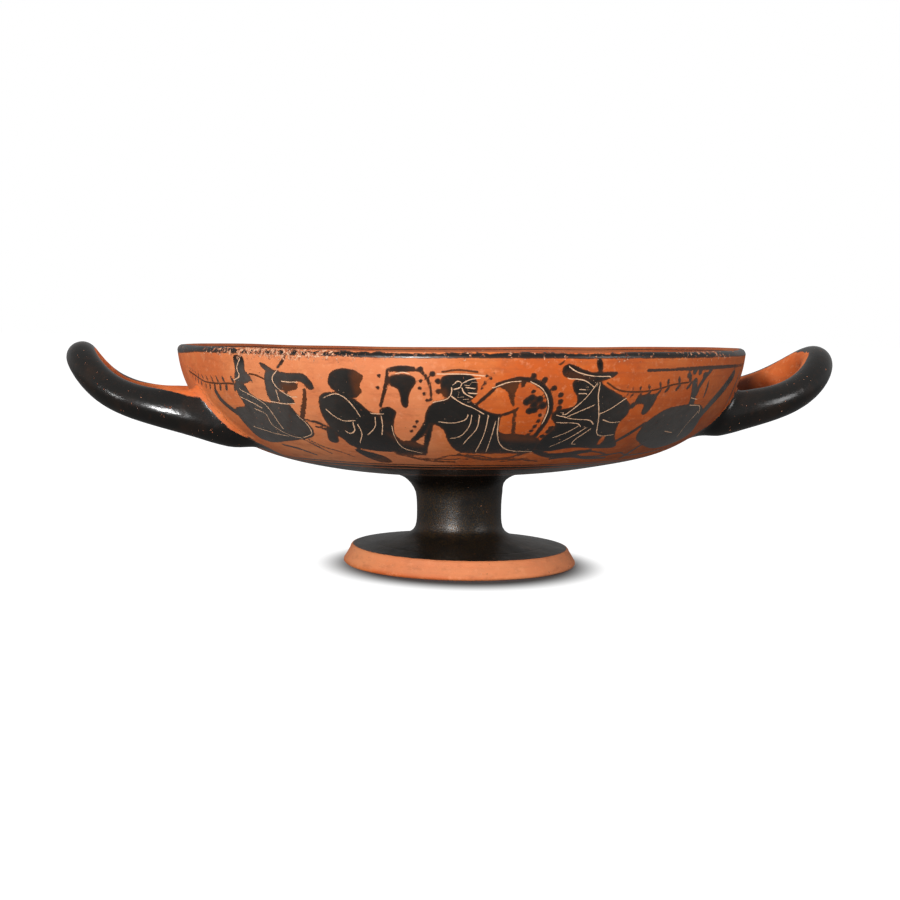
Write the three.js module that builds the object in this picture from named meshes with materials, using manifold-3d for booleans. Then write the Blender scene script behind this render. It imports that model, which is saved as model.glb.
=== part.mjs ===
// A painted drinking cup of fired clay: a wide shallow bowl on a short hollow stem
// and a disc foot, with two upswept horseshoe handles. Bowl, stem, foot and handles
// were joined while the clay was wet and fired together, so the cup is one solid.
// Millimetres, +Z up, origin on the table at the middle of the foot, handles along X.

import * as THREE from "three";
import { mergeVertices } from "three/addons/utils/BufferGeometryUtils.js";
import Module from "manifold-3d";

// Bowl
const cupHeight = 76.4; // table to lip
const rimRadius = 99.8;
const wall = 3.4; // thickness of the bowl's side
const floorThickness = 5; // thickness of the bowl over the stem
const bowlBase = 31.6; // underside of the bowl at the axis, above the table
const shoulderRise = 8.6; // the side would stand upright this far above the lip
const bowlFullness = 2.7; // 2 is an ellipse, more is a squarer side

// Stem
const stemRadius = 14.8;
const stemTopFlare = 8.5; // how far the stem spreads where it meets the bowl
const stemTopReach = 2; // height over which that spread fades by a factor of e
const stemFootFlare = 7; // how far it spreads where it meets the foot
const stemFootReach = 1.5;
const stemWall = 6.2;
const stemCap = 5; // clay left between the hollow of the stem and the bowl's underside
const hollowFlareReach = 2.4; // height over which the hollow's spread fades

// Foot
const footRadius = 41.6;
const footEdgeHeight = 5.8; // top of the sloping edge
const footEdgeLean = 2.4; // how far that edge leans in
const footEdgeRound = 1.1;
const footRise = 3.3; // climb of the foot's top from its edge to the stem
const footTopBow = 1.3; // 1 climbs evenly, more climbs late
const footThickness = 4.8;
const restingWidth = 6.2; // flat ring that the cup stands on
const hollowChamfer = 1.4;

// Handles, which were set by hand and differ a little in height
const rightHandle = {
  rootDrop: 23.6, // lip down to the middle of the arm where it leaves the bowl
  tipDrop: 4.4, // lip down to the middle of the handle's end
};
const leftHandle = { rootDrop: 26.6, tipDrop: 3.9 };
const handleProjection = 31.2; // rim to the middle of the handle's end, seen from above
const handleHalfWidth = 27.6; // middle of the loop to the middle of an arm
const handleBow = 30; // length of the loop's rounded end
const handleLift = 0.52; // share of the climb that is even, the rest comes near the tip
const handleLateness = 5; // how late the rest of the climb comes
const handleRadius = 5;
const handleRootSwell = 2.4; // how much thicker the arm is at the bowl
const handleSwellLength = 8; // length over which that fades by a factor of e
const handleBuried = 20; // length of arm that runs on into the bowl's side

// Fineness of the facets
const turns = 64;
const bowlSteps = 12;
const stemSteps = 8;
const lipSteps = 4;
const domeSteps = 4;
const flareSteps = 4;
const footTopSteps = 3;
const edgeSteps = 2;
const handleArmSteps = 5;
const handleBowSteps = 12;
const handleRings = 32;
const handleFacets = 12;

const bowlCentre = cupHeight + shoulderRise;
const footTop = footEdgeHeight + footRise;
const quarter = Math.PI / 2;

function range(steps, place) {
  return Array.from({ length: steps + 1 }, (_, i) => place(i / steps));
}

function arc(x, y, radius, from, to, steps) {
  return range(steps, (share) => {
    const angle = THREE.MathUtils.lerp(from, to, share);
    return new THREE.Vector2(x + radius * Math.cos(angle), y + radius * Math.sin(angle));
  });
}

// Half of a bowl's section, from a stated radius out to a stated height. It is a
// superellipse about a centre above the lip.
function bowlCurve(radius, base, fromRadius, toHeight) {
  const depth = bowlCentre - base;
  const power = 2 / bowlFullness;
  const first = Math.acos(Math.pow(fromRadius / radius, 1 / power));
  const last = Math.asin(Math.pow((bowlCentre - toHeight) / depth, 1 / power));
  return range(bowlSteps, (share) => {
    const angle = THREE.MathUtils.lerp(first, last, share);
    return new THREE.Vector2(
      radius * Math.pow(Math.max(Math.cos(angle), 0), power),
      bowlCentre - depth * Math.pow(Math.max(Math.sin(angle), 0), power)
    );
  });
}

function outsideHeight(radius) {
  const share = 1 - Math.pow(radius / rimRadius, bowlFullness);
  return bowlCentre - (bowlCentre - bowlBase) * Math.pow(share, 1 / bowlFullness);
}

function outsideRadius(height) {
  const share = (bowlCentre - height) / (bowlCentre - bowlBase);
  return rimRadius * Math.pow(1 - Math.pow(share, bowlFullness), 1 / bowlFullness);
}

// The rounded lip between the last point of the outside and the first of the inside.
function lipCurve(outer, inner) {
  const middle = outer.clone().add(inner).multiplyScalar(0.5);
  const half = outer.distanceTo(inner) / 2;
  return arc(middle.x, middle.y, half, 0, Math.PI, lipSteps).slice(1, -1);
}

// The stem's outside: a waist that spreads like an exponential curve at both ends.
function stemCurve(low, high) {
  return range(stemSteps, (share) => {
    const height = THREE.MathUtils.lerp(low, high, share);
    const radius =
      stemRadius +
      stemFootFlare * Math.exp((low - height) / stemFootReach) +
      stemTopFlare * Math.exp((height - high) / stemTopReach);
    return new THREE.Vector2(radius, height);
  });
}

// The hollow of the stem and foot, from its domed top on the axis down to the table.
function hollowCurve() {
  const throat = stemRadius - stemWall;
  const top = bowlBase - stemCap;
  const ceiling = footTop - footThickness;
  const restingInner = footRadius - footEdgeRound - restingWidth;
  const dome = arc(0, top - throat, throat, quarter, 0, domeSteps);
  dome[0].x = 0;
  const spread = range(flareSteps, (share) => {
    const height = THREE.MathUtils.lerp(top - throat, ceiling, share);
    const flare = stemFootFlare * Math.exp((ceiling - height) / hollowFlareReach);
    return new THREE.Vector2(throat + flare, height);
  });
  return [
    ...dome,
    ...spread.slice(1),
    new THREE.Vector2(restingInner - hollowChamfer, hollowChamfer),
    new THREE.Vector2(restingInner, 0),
  ];
}

// The foot's leaning edge and its top, from the table to the stem.
function footCurve() {
  const round = footEdgeRound;
  const upper = footRadius - footEdgeLean - round;
  const top = range(footTopSteps, (share) => {
    const radius = THREE.MathUtils.lerp(upper, stemRadius + stemFootFlare, share);
    return new THREE.Vector2(radius, footEdgeHeight + footRise * Math.pow(share, footTopBow));
  });
  return [
    ...arc(footRadius - round, round, round, -quarter, 0, edgeSteps),
    ...arc(upper, footEdgeHeight - round, round, 0, quarter, edgeSteps),
    ...top.slice(1, -1),
  ];
}

// The bowl, stem and foot as one turned form.
function turnedForm() {
  const bowlStart = stemRadius + stemTopFlare;
  const lipHeight = cupHeight - wall / 2;
  const outside = bowlCurve(rimRadius, bowlBase, bowlStart, lipHeight);
  const inside = bowlCurve(rimRadius - wall, bowlBase + floorThickness, 0, lipHeight);
  inside[0].x = 0;
  const profile = [
    ...hollowCurve(),
    ...footCurve(),
    ...stemCurve(footTop, outsideHeight(bowlStart)).slice(0, -1),
    ...outside,
    ...lipCurve(outside.at(-1), inside.at(-1)),
    ...inside.reverse(),
  ];
  return new THREE.LatheGeometry(profile, turns);
}

// The space inside the bowl, a little deeper than the clay, which trims the handles'
// buried ends so that they stay within the bowl's side.
function bowlSpace() {
  const depth = wall / 3;
  const base = bowlBase + floorThickness - depth;
  const inside = bowlCurve(rimRadius - wall + depth, base, 0, cupHeight);
  inside[0].x = 0;
  return new THREE.LatheGeometry([...inside, new THREE.Vector2(0, cupHeight)], turns);
}

// The middle line of a handle at +X: two arms that start inside the bowl's side and a
// half ellipse between them. They climb towards the tip.
function handleLine({ rootDrop, tipDrop }) {
  const rootHeight = cupHeight - rootDrop;
  const tipHeight = cupHeight - tipDrop;
  const root = Math.sqrt(outsideRadius(rootHeight) ** 2 - handleHalfWidth ** 2);
  const start = root - handleBuried;
  const end = rimRadius + handleProjection;
  const bend = end - handleBow;
  const arm = range(handleArmSteps, (share) => [
    THREE.MathUtils.lerp(start, bend, share),
    handleHalfWidth,
  ]).slice(0, -1);
  const bow = range(handleBowSteps, (share) => [
    bend + handleBow * Math.sin(Math.PI * share),
    handleHalfWidth * Math.cos(Math.PI * share),
  ]);
  const otherArm = arm.map(([x, y]) => [x, -y]).reverse();
  return new THREE.CatmullRomCurve3(
    [...arm, ...bow, ...otherArm].map(([x, y]) => {
      const share = Math.max((x - root) / (end - root), 0);
      const climb = handleLift * share + (1 - handleLift) * Math.pow(share, handleLateness);
      return new THREE.Vector3(x, y, THREE.MathUtils.lerp(rootHeight, tipHeight, climb));
    })
  );
}

// A round rod along a handle's line, swelling where it meets the bowl.
function handleForm(handle) {
  const line = handleLine(handle);
  const length = line.getLength();
  const up = new THREE.Vector3(0, 0, 1);
  const positions = [];
  const faces = [];
  for (let i = 0; i <= handleRings; i++) {
    const share = i / handleRings;
    const centre = line.getPointAt(share);
    const along = line.getTangentAt(share);
    const side = up.clone().cross(along).normalize();
    const over = along.clone().cross(side);
    const fromBowl = Math.max(length * Math.min(share, 1 - share) - handleBuried, 0);
    const radius = handleRadius + handleRootSwell * Math.exp(-fromBowl / handleSwellLength);
    for (let k = 0; k < handleFacets; k++) {
      const angle = (2 * Math.PI * k) / handleFacets;
      const point = centre
        .clone()
        .addScaledVector(side, radius * Math.cos(angle))
        .addScaledVector(over, radius * Math.sin(angle));
      positions.push(point.x, point.y, point.z);
    }
  }
  const at = (i, k) => i * handleFacets + (k % handleFacets);
  for (let i = 0; i < handleRings; i++)
    for (let k = 0; k < handleFacets; k++) {
      faces.push(at(i, k), at(i, k + 1), at(i + 1, k));
      faces.push(at(i, k + 1), at(i + 1, k + 1), at(i + 1, k));
    }
  for (let k = 1; k < handleFacets - 1; k++) {
    faces.push(at(0, 0), at(0, k + 1), at(0, k));
    faces.push(at(handleRings, 0), at(handleRings, k), at(handleRings, k + 1));
  }
  return new THREE.BufferGeometry()
    .setAttribute("position", new THREE.Float32BufferAttribute(positions, 3))
    .setIndex(faces);
}

const wasm = await Module();
wasm.setup();

// A closed mesh as a solid that can be joined and cut.
function solidOf(geometry) {
  const bare = new THREE.BufferGeometry()
    .setAttribute("position", geometry.getAttribute("position"))
    .setIndex(geometry.index);
  const merged = mergeVertices(bare, 1e-3);
  return new wasm.Manifold(
    new wasm.Mesh({
      numProp: 3,
      vertProperties: merged.attributes.position.array,
      triVerts: new Uint32Array(merged.index.array),
    })
  );
}

function geometryOf(solid) {
  const mesh = solid.getMesh();
  const geometry = new THREE.BufferGeometry()
    .setAttribute("position", new THREE.BufferAttribute(mesh.vertProperties, 3))
    .setIndex(new THREE.BufferAttribute(mesh.triVerts, 1));
  geometry.computeVertexNormals();
  return geometry;
}

// Lathes turn about Y, so their geometry is stood up along Z.
const upright = new THREE.Matrix4().makeRotationX(quarter);
const halfTurn = new THREE.Matrix4().makeRotationZ(Math.PI);
const turned = solidOf(turnedForm().applyMatrix4(upright));
const space = solidOf(bowlSpace().applyMatrix4(upright));
const rightRod = solidOf(handleForm(rightHandle));
const leftRod = solidOf(handleForm(leftHandle).applyMatrix4(halfTurn));
const handles = rightRod.add(leftRod).subtract(space);

const cup = new THREE.Mesh(
  geometryOf(turned.add(handles)),
  new THREE.MeshStandardMaterial({ color: 0xb8602f, roughness: 0.5, metalness: 0 })
);
cup.name = "kylix";

const kylix = new THREE.Group();
kylix.add(cup);

export default kylix;
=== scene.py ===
import math

import bpy
import numpy as np
from mathutils import Matrix


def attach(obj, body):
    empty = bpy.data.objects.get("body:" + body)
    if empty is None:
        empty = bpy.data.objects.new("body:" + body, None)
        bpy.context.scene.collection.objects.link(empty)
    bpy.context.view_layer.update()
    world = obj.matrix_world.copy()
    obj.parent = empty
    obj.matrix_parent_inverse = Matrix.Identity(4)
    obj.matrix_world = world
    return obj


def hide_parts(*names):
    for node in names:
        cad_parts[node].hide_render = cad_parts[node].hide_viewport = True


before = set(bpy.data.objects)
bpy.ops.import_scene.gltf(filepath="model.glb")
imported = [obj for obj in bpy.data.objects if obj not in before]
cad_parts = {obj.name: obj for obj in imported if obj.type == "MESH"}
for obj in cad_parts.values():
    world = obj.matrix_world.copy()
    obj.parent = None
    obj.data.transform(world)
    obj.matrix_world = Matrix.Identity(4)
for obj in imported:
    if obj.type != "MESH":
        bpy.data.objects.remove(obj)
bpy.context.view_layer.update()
mm = 0.001
print("frame loaded")


# Camera: where the photograph was taken from, in millimetres from the foot's middle.
view = {
    "eye": (-68.1, -506.5, 80.7),
    "axisPixel": 461.5,  # photograph's column of the cup's axis
    "horizonPixel": 337.0,  # photograph's row of the horizon
    "framePixels": 900,
    "lens": 57.24,
    "sensor": 36.0,
    "roll": 1.0,  # degrees
}


# Matrix whose columns are three axes and a place.
def matrixOf(*columns):
    matrix = Matrix.Identity(4)
    for column, axis in enumerate(columns):
        for row in range(3):
            matrix[row][column] = axis[row]
    return matrix


def makeCamera():
    eye = np.array(view["eye"])
    half = view["framePixels"] / 2
    focal = view["lens"] / view["sensor"] * view["framePixels"]
    pitch = math.atan((half - view["horizonPixel"]) / focal)
    heading = math.atan2(-eye[1], -eye[0]) + math.atan((view["axisPixel"] - half) / focal)
    forward = np.array(
        [math.cos(heading) * math.cos(pitch), math.sin(heading) * math.cos(pitch), -math.sin(pitch)]
    )
    level = np.array([math.sin(heading), -math.cos(heading), 0.0])
    upright = np.cross(level, forward)
    roll = math.radians(view["roll"])
    right = level * math.cos(roll) + upright * math.sin(roll)
    up = upright * math.cos(roll) - level * math.sin(roll)
    data = bpy.data.cameras.new("camera")
    data.lens = view["lens"]
    data.sensor_width = view["sensor"]
    camera = bpy.data.objects.new("camera", data)
    camera.matrix_world = matrixOf(right, up, -forward, eye * mm)
    bpy.context.scene.collection.objects.link(camera)
    bpy.context.scene.camera = camera


makeCamera()
print("camera placed")


# The cup's turned form, in millimetres, as it was thrown on the wheel.
cup = {
    "height": 76.4,
    "rimRadius": 99.8,
    "wall": 3.4,
    "floorThickness": 5.0,
    "bowlBase": 31.6,
    "shoulderRise": 8.6,
    "fullness": 2.7,
    "stemRadius": 14.8,
    "stemTopFlare": 14.5,
    "stemTopReach": 2.3,
    "stemFootFlare": 7.0,
    "stemFootReach": 1.5,
    "stemWall": 6.2,
    "stemCap": 5.0,
    "hollowFlareReach": 2.4,
    "footRadius": 41.6,
    "footEdgeHeight": 5.8,
    "footEdgeLean": 2.4,
    "footEdgeRound": 1.1,
    "footRise": 2.7,
    "footTopBow": 1.3,
    "footThickness": 4.8,
    "restingWidth": 6.2,
    "hollowChamfer": 1.4,
    "friezeDepth": 60.0,  # finely meshed part of the outside, from the lip down along the clay
    "fineColumns": 704,
    "coarseColumns": 176,  # a quarter of the fine ones
    "frontCrowding": 0.2,  # how much closer the columns stand at the front than on average
}
meshRows = {
    "hollow": 30, "footEdge": 12, "footTop": 14, "stem": 24,
    "under": 15, "frieze": 78, "lip": 8, "inside": 52,
}
bowlCentre = cup["height"] + cup["shoulderRise"]
footTop = cup["footEdgeHeight"] + cup["footRise"]
lipHeight = cup["height"] - cup["wall"] / 2
bowlStart = cup["stemRadius"] + cup["stemTopFlare"]
quarter = math.pi / 2


# Bowl section: (r / R)^n + (depth below the centre / full depth)^n = 1, from one radius out to one height.
def bowlCurve(radius, base, fromRadius, toHeight, count=400):
    depth = bowlCentre - base
    power = 2 / cup["fullness"]
    first = math.acos((fromRadius / radius) ** (1 / power))
    last = math.asin(((bowlCentre - toHeight) / depth) ** (1 / power))
    angle = np.linspace(first, last, count)
    r = radius * np.clip(np.cos(angle), 0, 1) ** power
    z = bowlCentre - depth * np.clip(np.sin(angle), 0, 1) ** power
    return np.stack([r, z], axis=1)


# Circle arc: centre + radius * (cos, sin).
def arcCurve(r, z, radius, start, end, count=40):
    angle = np.linspace(start, end, count)
    return np.stack([r + radius * np.cos(angle), z + radius * np.sin(angle)], axis=1)


# Stem: waist + foot flare * e^(-height above foot / reach) + top flare * e^(-depth below bowl / reach).
def stemCurve(low, high, count=200):
    z = np.linspace(low, high, count)
    r = (
        cup["stemRadius"]
        + cup["stemFootFlare"] * np.exp((low - z) / cup["stemFootReach"])
        + cup["stemTopFlare"] * np.exp((z - high) / cup["stemTopReach"])
    )
    return np.stack([r, z], axis=1)


# Hollow: a quarter dome, then throat + flare * e^(-height above ceiling / reach), then the foot's underside.
def hollowCurve():
    throat = cup["stemRadius"] - cup["stemWall"]
    top = cup["bowlBase"] - cup["stemCap"]
    ceiling = footTop - cup["footThickness"]
    inner = cup["footRadius"] - cup["footEdgeRound"] - cup["restingWidth"]
    z = np.linspace(top - throat, ceiling, 80)[1:]
    r = throat + cup["stemFootFlare"] * np.exp((ceiling - z) / cup["hollowFlareReach"])
    chamfer = cup["hollowChamfer"]
    under = [[inner - chamfer, chamfer], [inner, 0], [cup["footRadius"] - cup["footEdgeRound"], 0]]
    return np.concatenate([arcCurve(0, top - throat, throat, quarter, 0), np.stack([r, z], 1), under])


# Foot: rounded corner, leaning edge, rounded corner, then edge height + rise * share^bow to the stem.
def footCurves():
    corner = cup["footEdgeRound"]
    upper = cup["footRadius"] - cup["footEdgeLean"] - corner
    share = np.linspace(0, 1, 60)[1:]
    r = upper + (cup["stemRadius"] + cup["stemFootFlare"] - upper) * share
    z = cup["footEdgeHeight"] + cup["footRise"] * share ** cup["footTopBow"]
    edge = np.concatenate(
        [
            arcCurve(cup["footRadius"] - corner, corner, corner, -quarter, 0),
            arcCurve(upper, cup["footEdgeHeight"] - corner, corner, 0, quarter),
        ]
    )
    return edge, np.stack([r, z], 1)


# Arc length from a curve's first point to each of its points.
def arcLength(curve):
    return np.concatenate([[0], np.cumsum(np.linalg.norm(np.diff(curve, axis=0), axis=1))])


# Points at even steps of arc length along a curve, or at the arc lengths asked for.
def spaced(curve, steps=None, at=None):
    length = arcLength(curve)
    at = np.linspace(0, length[-1], steps + 1) if at is None else at
    return np.stack([np.interp(at, length, curve[:, k]) for k in range(curve.shape[1])], axis=1)


# Each vector divided by its length.
def unit(vectors):
    return vectors / np.maximum(np.linalg.norm(vectors, axis=-1, keepdims=True), 1e-9)


outsideCurve = bowlCurve(cup["rimRadius"], cup["bowlBase"], 1.0, lipHeight, 900)[::-1]
outsideLength = arcLength(outsideCurve)
insideBase = cup["bowlBase"] + cup["floorThickness"]
insideCurve = bowlCurve(cup["rimRadius"] - cup["wall"], insideBase, 0, lipHeight)[::-1]


# Nearest point of the bowl's outside for each (r, z): the distance to it, positive outwards, and the arc
# length from the lip to it.
def onBowl(r, z):
    tangent = unit(np.gradient(outsideCurve, axis=0))
    normal = np.stack([-tangent[:, 1], tangent[:, 0]], axis=1)
    away, along = [], []
    for part in np.array_split(np.stack([r, z], axis=1), max(1, len(r) // 4000)):
        across, up = (part[:, k, None] - outsideCurve[None, :, k] for k in range(2))
        near = np.argmin(across**2 + up**2, axis=1)
        offset = part - outsideCurve[near]
        away.append(np.sum(offset * normal[near], axis=1))
        along.append(outsideLength[near] + np.sum(offset * tangent[near], axis=1))
    return np.concatenate(away), np.concatenate(along)


# Angles round the axis: turn - 90 degrees - crowding * sin(turn), closer together at the front.
def ringAngles(columns):
    turn = np.arange(columns) / columns * 2 * math.pi
    return turn - quarter - cup["frontCrowding"] * np.sin(turn)


# Surface of revolution: rows of the profile times angles round the axis. Rows are fine or coarse, and
# where they meet each coarse step carries four fine ones. A row of radius 0 is a single pole.
def turnedMesh():
    edge, top = footCurves()
    total = outsideLength[np.searchsorted(-outsideCurve[:, 0], -bowlStart)]
    frieze = np.linspace(cup["friezeDepth"], 0, meshRows["frieze"] + 1)
    under = spaced(outsideCurve, at=np.linspace(total, cup["friezeDepth"], meshRows["under"] + 1)[:-1])
    middle = (outsideCurve[0] + insideCurve[0]) / 2
    rows = [
        ("coarseColumns", spaced(hollowCurve(), meshRows["hollow"])[:-1]),
        ("coarseColumns", spaced(edge, meshRows["footEdge"])),
        ("coarseColumns", spaced(top, meshRows["footTop"])),
        ("coarseColumns", spaced(stemCurve(footTop, under[0, 1]), meshRows["stem"])[1:-1]),
        ("coarseColumns", under),
        ("fineColumns", spaced(outsideCurve, at=frieze)),
        ("fineColumns", arcCurve(middle[0], lipHeight, cup["wall"] / 2, 0, math.pi, meshRows["lip"])[1:-1]),
        ("coarseColumns", spaced(insideCurve, meshRows["inside"])),
    ]
    points, rings = [], []
    start = 0
    for key, curve in rows:
        for r, z in curve:
            angle = ringAngles(cup[key]) if r > 1e-6 else np.zeros(1)
            points.append(np.stack([r * np.cos(angle), r * np.sin(angle), np.full(len(angle), z)], 1))
            rings.append((start, len(angle)))
            start += len(angle)
    quads, triangles = [], []
    for (first, count), (second, nextCount) in zip(rings, rings[1:]):
        if count == nextCount:
            quads.append(bridgeQuads(first, second, count))
        else:
            triangles.extend(bridgeFan(first, count, second, nextCount))
    return np.concatenate(points), quads, triangles


# Quads between two rings of the same number of points.
def bridgeQuads(first, second, count):
    j = np.arange(count)
    k = (j + 1) % count
    return np.stack([first + j, first + k, second + k, second + j], axis=1)


# Triangles between a pole and a ring, or between a ring and one of four times as many points.
def bridgeFan(first, count, second, nextCount):
    if count == 1:
        j = np.arange(nextCount)
        return [np.stack([np.full(nextCount, first), second + (j + 1) % nextCount, second + j], 1)]
    if nextCount == 1:
        j = np.arange(count)
        return [np.stack([first + j, first + (j + 1) % count, np.full(count, second)], 1)]
    few = min(count, nextCount)
    fewStart, manyStart = (first, second) if count < nextCount else (second, first)
    j = np.arange(few)
    a, b = fewStart + j, fewStart + (j + 1) % few
    f = [manyStart + (4 * j + step) % (4 * few) for step in range(5)]
    fans = [(a, f[1], f[0]), (a, f[2], f[1]), (a, b, f[2]), (b, f[3], f[2]), (b, f[4], f[3])]
    fans = [np.stack(fan, axis=1) for fan in fans]
    return fans if count < nextCount else [fan[:, ::-1] for fan in fans]


# Blender mesh of points in millimetres, with lists of arrays of quads and of triangles.
def meshFrom(name, points, quads, triangles):
    mesh = bpy.data.meshes.new(name)
    quads, triangles = np.concatenate(quads), np.concatenate(triangles)
    loops = np.concatenate([quads.ravel(), triangles.ravel()]).astype(np.int32)
    starts = np.concatenate([np.arange(len(quads)) * 4, quads.size + np.arange(len(triangles)) * 3])
    mesh.vertices.add(len(points))
    mesh.vertices.foreach_set("co", (points * mm).astype(np.float32).ravel())
    mesh.loops.add(len(loops))
    mesh.loops.foreach_set("vertex_index", loops)
    mesh.polygons.add(len(starts))
    mesh.polygons.foreach_set("loop_start", starts.astype(np.int32))
    mesh.update(calc_edges=True)
    mesh.validate()
    return mesh


# The two handles were set by hand and differ a little. turn is in degrees, lift and lateness shape the
# climb, topSwell pulls a root's upper side up the wall, the clay values bound the bare inner side, and
# shade is painted shade that darkens that side from the root as far as shadeTo, but not over the top.
handles = {
    "right": {
        "side": 1, "turn": -0.8, "projection": 30.1, "rootDrop": 22.6, "tipDrop": 4.2, "tilt": -0.012,
        "lift": 0.5, "lateness": 4.3, "halfWidth": 26.8, "bow": 36.0, "radius": 5.5, "topSwell": 4.5,
        "swellReach": 9.5, "clayFrom": 0.34, "clayAtWall": 0.3, "leanAtRoot": 0.2, "leanAtTip": -0.3,
        "shade": 0.95, "shadeTop": (0.6, 1.05), "shadeTo": (29, 37),
    },
    "left": {
        "side": -1, "turn": 2.6, "projection": 31.4, "rootDrop": 26.8, "tipDrop": 4.0, "tilt": 0.014,
        "lift": 0.55, "lateness": 7.1, "halfWidth": 27.7, "bow": 42.0, "radius": 5.2, "topSwell": 25.0,
        "swellReach": 9.0, "clayFrom": 0.3, "clayAtWall": 1.7, "leanAtRoot": 0.72, "leanAtTip": -0.5,
        "shade": 0.6, "shadeTop": (0.3, 0.9), "shadeTo": (30, 60),
    },
}
handleShape = {
    "rootSwell": 1.4,
    "swellLength": 9.0,
    "buried": 22.0,
    "rings": 96,
    "sides": 36,
    "depthInWall": 1.6,
    "ease": (0.12, 0.045),  # share of the reach over which the climb starts, and its drop at the root
    "leanOver": (12, 48),  # millimetres from the bowl over which the bare clay's lean changes
    "underSide": -0.3,  # a handle's skin faces down where its normal's height is less than this
    "shadeFacing": (0.1, 0.7),
    "shadeLoss": 0.9,
}


# Middle line: straight arms and a half ellipse, height = root + climb * (lift * s + (1 - lift) * s^lateness).
def handleLine(handle, count=600):
    rootHeight = cup["height"] - handle["rootDrop"]
    climb = handle["rootDrop"] - handle["tipDrop"]
    atRoot = np.interp(-rootHeight, -outsideCurve[:, 1], outsideCurve[:, 0])
    root = math.sqrt(atRoot**2 - handle["halfWidth"] ** 2)
    start = root - handleShape["buried"]
    end = cup["rimRadius"] + handle["projection"]
    bend = end - handle["bow"]
    arm = np.linspace(start, bend, 200)[:-1]
    angle = np.linspace(0, math.pi, 200)
    x = np.concatenate([arm, bend + handle["bow"] * np.sin(angle), arm[::-1]])
    half = handle["halfWidth"]
    y = np.concatenate([np.full(199, half), half * np.cos(angle), np.full(199, -half)])
    share = (x - root) / (end - root)
    ease, drop = handleShape["ease"]
    eased = np.where(share > ease, share, ease * np.exp(np.minimum(share / ease, 1) - 1))
    late = np.maximum(share, 0) ** handle["lateness"]
    z = rootHeight + climb * (handle["lift"] * (eased - drop) + (1 - handle["lift"]) * late)
    turn = math.radians(handle["turn"])
    across = handle["side"] * (x * math.cos(turn) - y * math.sin(turn))
    deep = handle["side"] * (x * math.sin(turn) + y * math.cos(turn))
    line = spaced(np.stack([across, deep, z - handle["tilt"] * deep], axis=1), count)
    length = np.linalg.norm(np.diff(line, axis=0), axis=1).sum()
    run = np.linspace(0, length, count + 1)
    fromBowl = np.minimum(run, length - run) - handleShape["buried"]
    bare = np.maximum(fromBowl, 0)
    radius = handle["radius"] + handleShape["rootSwell"] * np.exp(-bare / handleShape["swellLength"])
    rise = handle["topSwell"] * np.exp(-bare / handle["swellReach"])
    return line, radius, rise, fromBowl


# Tube: line + radius * (side * cos + over * sin), and higher on its upper side near the root. Every
# fibre starts and ends inside the bowl's wall.
def handleMesh(handle):
    line, radius, rise, _ = handleLine(handle)
    along = unit(np.gradient(line, axis=0))
    side = unit(np.cross([0, 0, 1], along))
    over = np.cross(along, side)
    angle = np.arange(handleShape["sides"]) / handleShape["sides"] * 2 * math.pi
    height = radius[:, None] * np.sin(angle) + rise[:, None] * np.maximum(np.sin(angle), 0) ** 2
    grid = line[:, None] + side[:, None] * (radius[:, None] * np.cos(angle))[..., None]
    grid = grid + over[:, None] * height[..., None]
    away, _ = onBowl(np.hypot(grid[..., 0], grid[..., 1]).ravel(), grid[..., 2].ravel())
    outside = away.reshape(grid.shape[:2]) > -handleShape["depthInWall"]
    first = np.argmax(outside, axis=0)
    last = len(line) - 1 - np.argmax(outside[::-1], axis=0)
    share = np.linspace(0, 1, handleShape["rings"] + 1)[:, None]
    row = first + (last - first) * share
    low = np.floor(row).astype(int).clip(0, len(line) - 2)
    part = (row - low)[..., None]
    k = np.arange(handleShape["sides"])
    points = grid[low, k] * (1 - part) + grid[low + 1, k] * part
    ends = points[[0, -1]].mean(axis=1)
    sides, rings = handleShape["sides"], handleShape["rings"]
    quads = [bridgeQuads(i * sides, (i + 1) * sides, sides) for i in range(rings)]
    count = (rings + 1) * sides
    triangles = bridgeFan(count, 1, 0, sides) + bridgeFan(rings * sides, sides, count + 1, 1)
    return np.concatenate([points.reshape(-1, 3), ends]), quads, triangles


# Turned body and both handles joined into one skin.
def buildBody():
    body = bpy.data.objects.new("kylixBody", meshFrom("kylixBody", *turnedMesh()))
    bpy.context.scene.collection.objects.link(body)
    for name, handle in handles.items():
        tube = bpy.data.objects.new(name, meshFrom(name, *handleMesh(handle)))
        bpy.context.scene.collection.objects.link(tube)
        joined = body.modifiers.new(name, "BOOLEAN")
        joined.operation = "UNION"
        joined.solver = "MANIFOLD"
        joined.object = tube
    bpy.context.view_layer.update()
    graph = bpy.context.evaluated_depsgraph_get()
    mesh = bpy.data.meshes.new_from_object(body.evaluated_get(graph))
    for name in ["kylixBody", *handles]:
        bpy.data.objects.remove(bpy.data.objects[name])
    return mesh


mesh = buildBody()
mesh.name = "kylixClay"
print("clay joined:", len(mesh.vertices), "points")


# Places of a mesh's points, in millimetres.
def coordinates(mesh):
    flat = np.empty(len(mesh.vertices) * 3, np.float32)
    mesh.vertices.foreach_get("co", flat)
    return flat.reshape(-1, 3).astype(float) / mm


# 0 below the low edge and 1 above the high one, with share^2 * (3 - 2 * share) between them.
def smoothStep(low, high, value):
    share = np.clip((value - low) / (high - low), 0, 1)
    return share * share * (3 - 2 * share)


# 0 outside a range and 1 within it, growing from a to b and going from c to d.
def within(value, a, b, c, d):
    return smoothStep(a, b, value) * (1 - smoothStep(c, d, value))


fillet = {
    "reach": 7.0,
    "steps": 16,
    "share": 0.7,  # of the way to the mean, at each step
    "belowSurface": 3.0,
    "aboveSurface": 0.25,  # a point farther out than this is on a handle
    "handleFrom": 45,
    "rootFrom": 55,
    "heights": (36, 74),
}


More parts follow.
